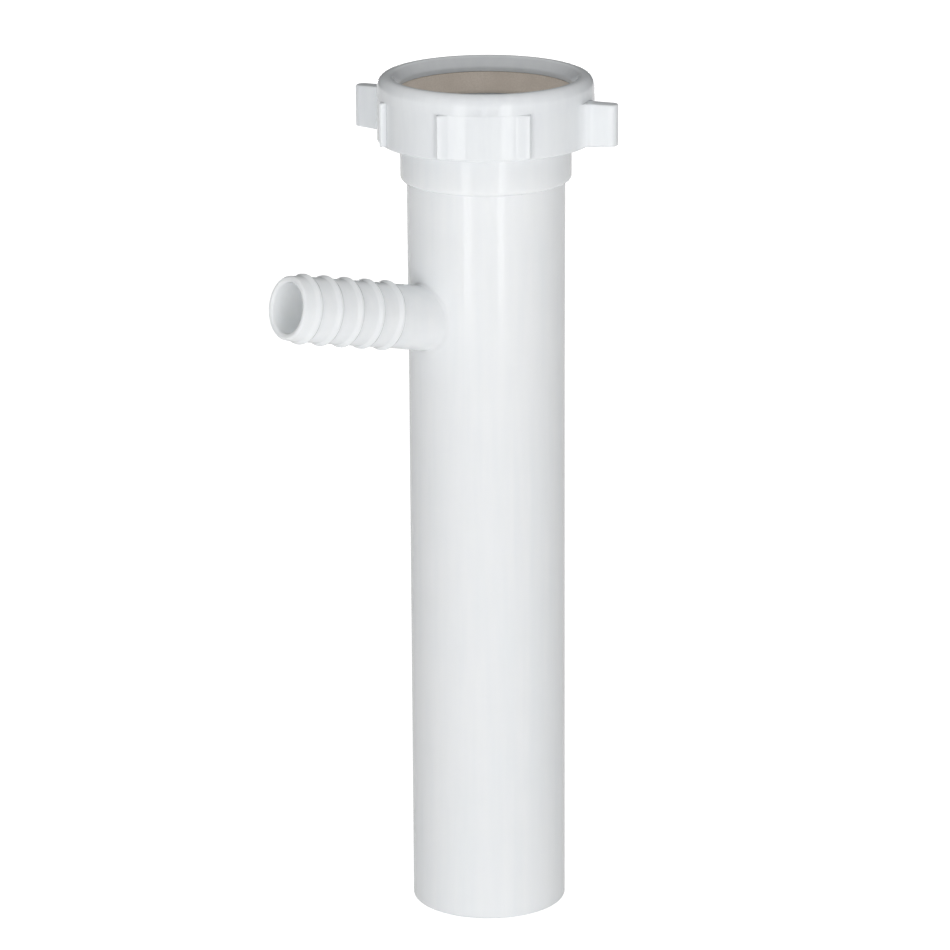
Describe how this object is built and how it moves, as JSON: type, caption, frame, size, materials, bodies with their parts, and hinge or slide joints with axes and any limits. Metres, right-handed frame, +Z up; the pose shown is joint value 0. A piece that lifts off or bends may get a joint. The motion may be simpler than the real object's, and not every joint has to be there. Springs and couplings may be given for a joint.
{
  "type": "slip-joint branch tail pipe",
  "caption": "White moulded basin waste tail pipe with a barbed hose branch, a slip socket at the top, a winged slip nut and a bevelled sealing washer",
  "frame": {"origin": "centre of the tube's lower, outlet end, which it stands on", "axes": "+Z runs up the tube towards the nut, and the hose branch points towards -X and a little up"},
  "size_m": [0.0874, 0.0588, 0.2101],
  "materials": {
    "pipe_plastic": "moulded, glossy white",
    "nut_plastic": "moulded, glossy white",
    "washer_rubber": "moulded, matt beige"
  },
  "bodies": {
    "tailpiece": {"tailpiece_body": "pipe_plastic"},
    "washer": {"bevel_washer": "washer_rubber"},
    "nut": {"slip_nut": "nut_plastic"}
  },
  "joints": [
    {"name": "washer_lift", "type": "slide", "parent": "tailpiece", "child": "washer", "axis": [0, 0, 1], "range_m": [0, 0.00884]},
    {"name": "nut_turn", "type": "hinge", "parent": "washer", "child": "nut", "pos_m": [0, 0, 0.2016], "axis": [0, 0, 1], "range_deg": [0, 1440]}
  ],
  "couplings": [
    {"joint": "washer_lift", "follows": "nut_turn", "m_per_rad": 0.00035152}
  ]
}
